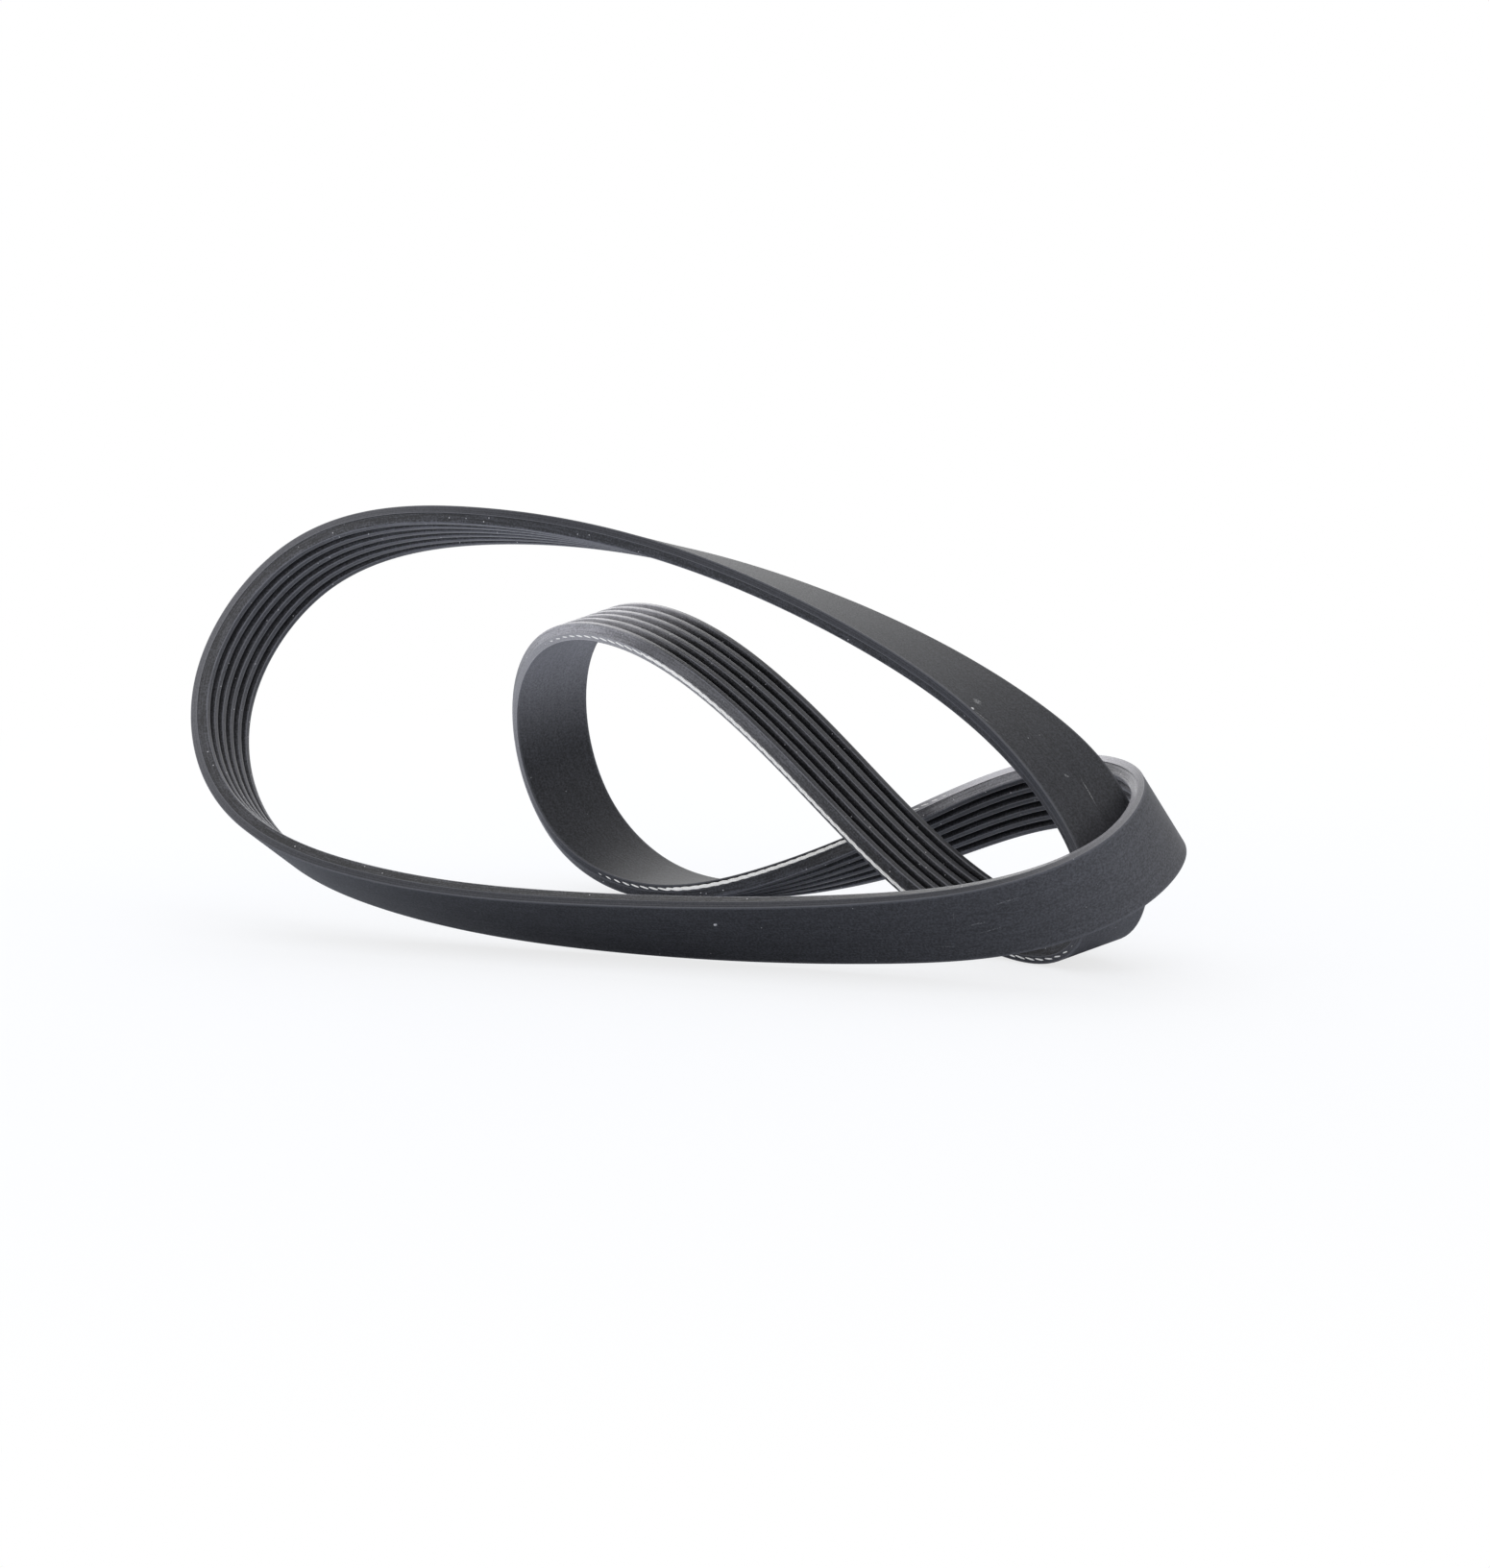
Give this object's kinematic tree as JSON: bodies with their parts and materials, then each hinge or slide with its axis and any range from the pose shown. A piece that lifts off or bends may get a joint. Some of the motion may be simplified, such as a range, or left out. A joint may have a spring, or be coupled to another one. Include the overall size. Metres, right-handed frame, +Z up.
{
  "type": "serpentine belt",
  "caption": "Ribbed rubber drive belt lying loose, a closed loop folded over itself, with lengthwise V ribs inside and a smooth back.",
  "frame": {"origin": "on the surface that the belt lies on, below the middle of its box", "axes": "+X from the big loop towards the tight turns, +Y away from the viewer of the picture, +Z up"},
  "size_m": [0.2442, 0.1568, 0.1036],
  "materials": {
    "belt_rubber": "matte",
    "cord_yarn": "matte"
  },
  "bodies": {
    "root": {"ribbed_belt": "belt_rubber", "cord_on_rising_strip": "cord_yarn", "cord_on_back_strip": "cord_yarn"}
  },
  "joints": []
}
